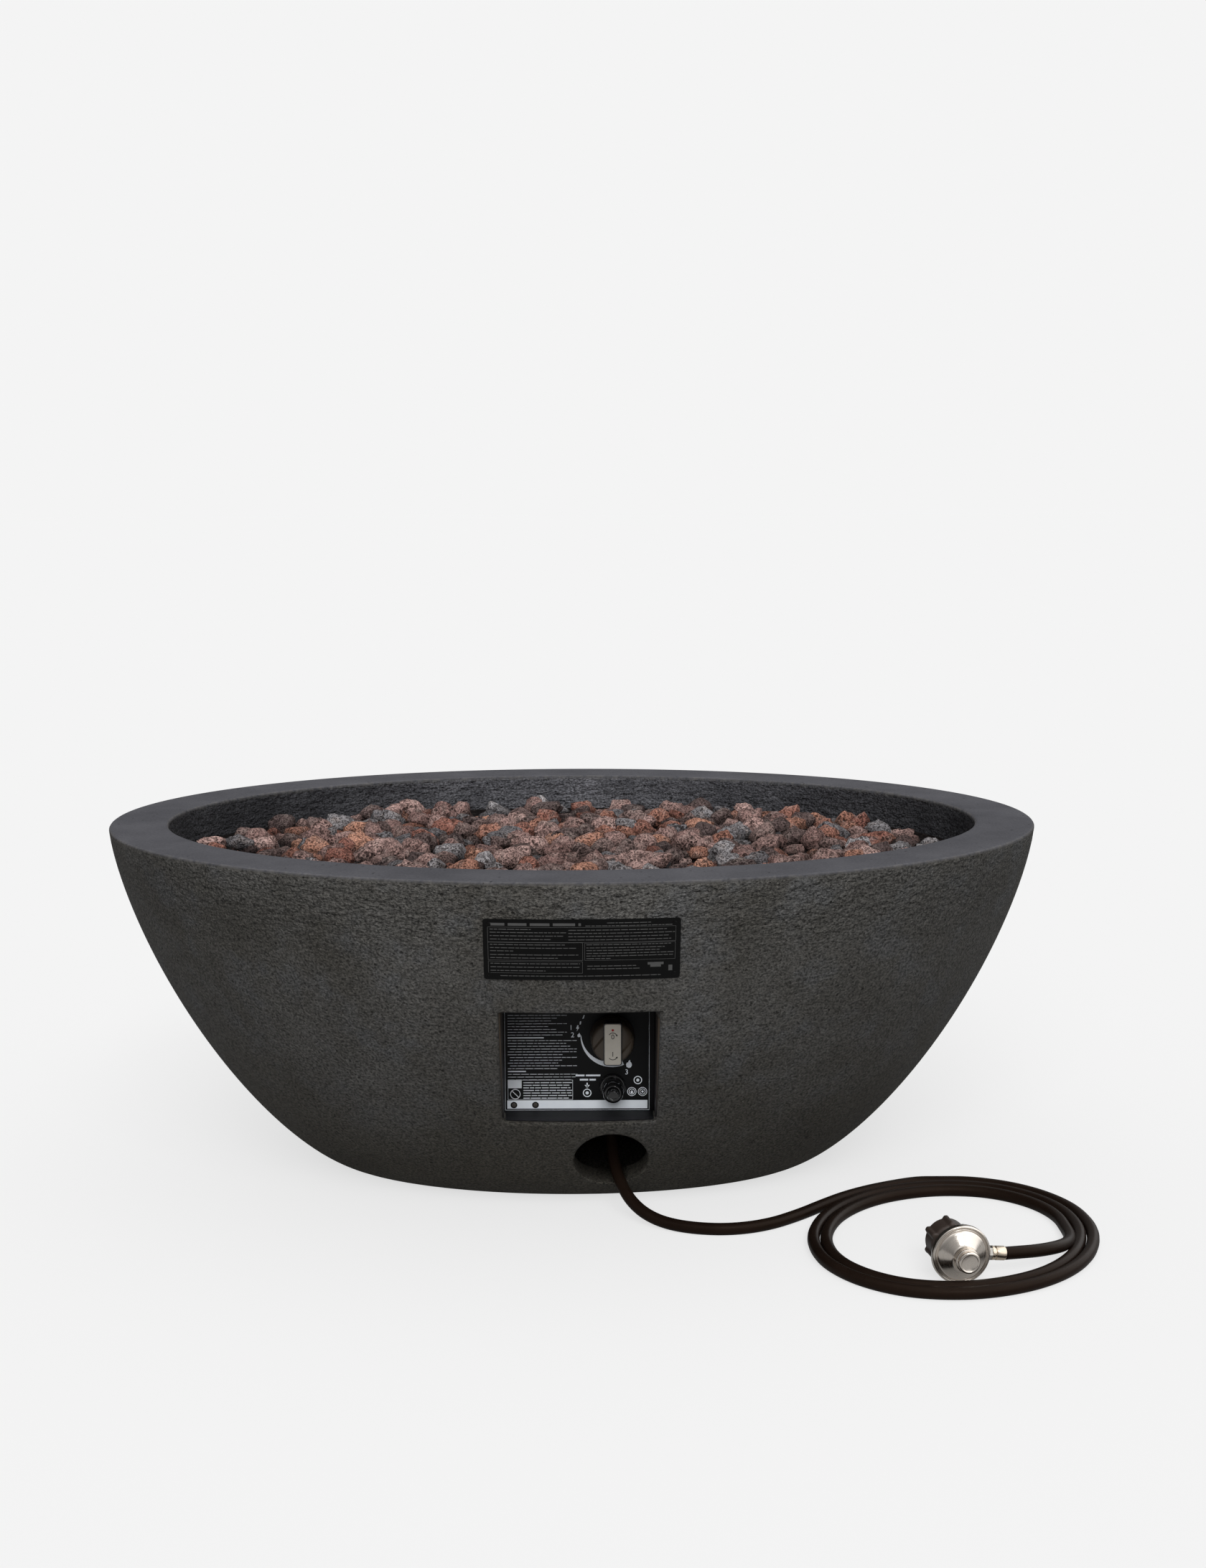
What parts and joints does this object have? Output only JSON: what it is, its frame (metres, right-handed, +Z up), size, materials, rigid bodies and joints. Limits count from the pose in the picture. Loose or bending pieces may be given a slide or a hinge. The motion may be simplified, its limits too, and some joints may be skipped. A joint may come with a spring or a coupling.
{
  "type": "fire bowl",
  "caption": "Oval concrete gas fire bowl with lava rock over a ring burner, a recessed control panel with knob and igniter, and a coiled gas hose with regulator.",
  "frame": {"origin": "on the ground under the centre of the bowl", "axes": "+X along the bowl's long side, to the right when facing the controls; the controls face -Y; +Z is up"},
  "size_m": [1.2501, 0.9597, 0.47],
  "materials": {
    "concrete": "matte",
    "black_steel": "satin",
    "plate_black": "satin",
    "rivet_dark": "satin",
    "valve_alloy": "satin",
    "zinc_steel": "satin",
    "knob_plastic": "satin",
    "silver_trim": "satin",
    "red_mark": "gloss",
    "brass_fitting": "satin",
    "igniter_gloss": "gloss",
    "battery_skin": "satin",
    "stainless": "satin",
    "cast_mixer": "matte",
    "white_ceramic": "satin",
    "lead_skin": "satin",
    "copper": "satin",
    "rock_fill": "matte",
    "rock_rust": "matte",
    "rock_grey": "matte",
    "rock_dark": "matte",
    "rock_mauve": "matte",
    "hose_rubber": "satin",
    "seal_rubber": "matte",
    "bright_cover": "polished",
    "wheel_plastic": "satin"
  },
  "bodies": {
    "base": {"air_mixer": "cast_mixer", "bowl_shell": "concrete", "burner_feet": "zinc_steel", "burner_locknut": "zinc_steel", "burner_nipple": "stainless", "burner_pan": "stainless", "burner_ring": "stainless", "connector_nuts": "brass_fitting", "control_box": "black_steel", "control_panel": "black_steel", "electrode_insulator": "white_ceramic", "electrode_rod": "stainless", "gas_connector": "stainless", "gas_orifice": "brass_fitting", "hose_coil": "hose_rubber", "hose_lead": "hose_rubber", "hose_tail": "hose_rubber", "igniter_battery": "battery_skin", "igniter_housing": "igniter_gloss", "igniter_lead": "lead_skin", "igniter_nut": "zinc_steel", "igniter_terminals": "zinc_steel", "inlet_elbow": "brass_fitting", "inlet_ferrule": "brass_fitting", "inlet_nipple": "brass_fitting", "inlet_seal": "seal_rubber", "lava_rocks_dark": "rock_dark", "lava_rocks_grey": "rock_grey", "lava_rocks_mauve": "rock_mauve", "lava_rocks_rust": "rock_rust", "outlet_fitting": "valve_alloy", "panel_screws": "black_steel", "plate_rivets": "rivet_dark", "regulator_body": "valve_alloy", "regulator_cap": "bright_cover", "regulator_cover": "bright_cover", "regulator_diaphragm": "seal_rubber", "regulator_ferrule": "valve_alloy", "rock_bed": "rock_fill", "spark_shield": "zinc_steel", "thermocouple_lead": "copper", "thermocouple_tip": "stainless", "valve_body": "valve_alloy", "valve_screws": "black_steel", "warning_plate": "plate_black"},
    "stem_slide": {"stem_collar": "zinc_steel"},
    "knob": {"valve_stem": "zinc_steel", "control_knob": "knob_plastic", "knob_insert": "silver_trim", "knob_dot": "red_mark"},
    "button": {"igniter_button": "igniter_gloss"},
    "wheel": {"handwheel": "wheel_plastic"}
  },
  "joints": [
    {"name": "knob_push", "type": "slide", "parent": "base", "child": "stem_slide", "axis": [0, 1, 0], "range_m": [0, 0.004], "stiffness_N_per_m": 1500},
    {"name": "knob_turn", "type": "hinge", "parent": "stem_slide", "child": "knob", "pos_m": [0.049, -0.26, 0.243], "axis": [0, -1, 0], "range_deg": [0, 210]},
    {"name": "igniter_push", "type": "slide", "parent": "base", "child": "button", "axis": [0, 1, 0], "range_m": [0, 0.003], "stiffness_N_per_m": 1200},
    {"name": "wheel_turn", "type": "hinge", "parent": "base", "child": "wheel", "pos_m": [0.443, -0.4495, 0.0347], "axis": [0.1736, -0.9848, 0], "continuous": true}
  ]
}
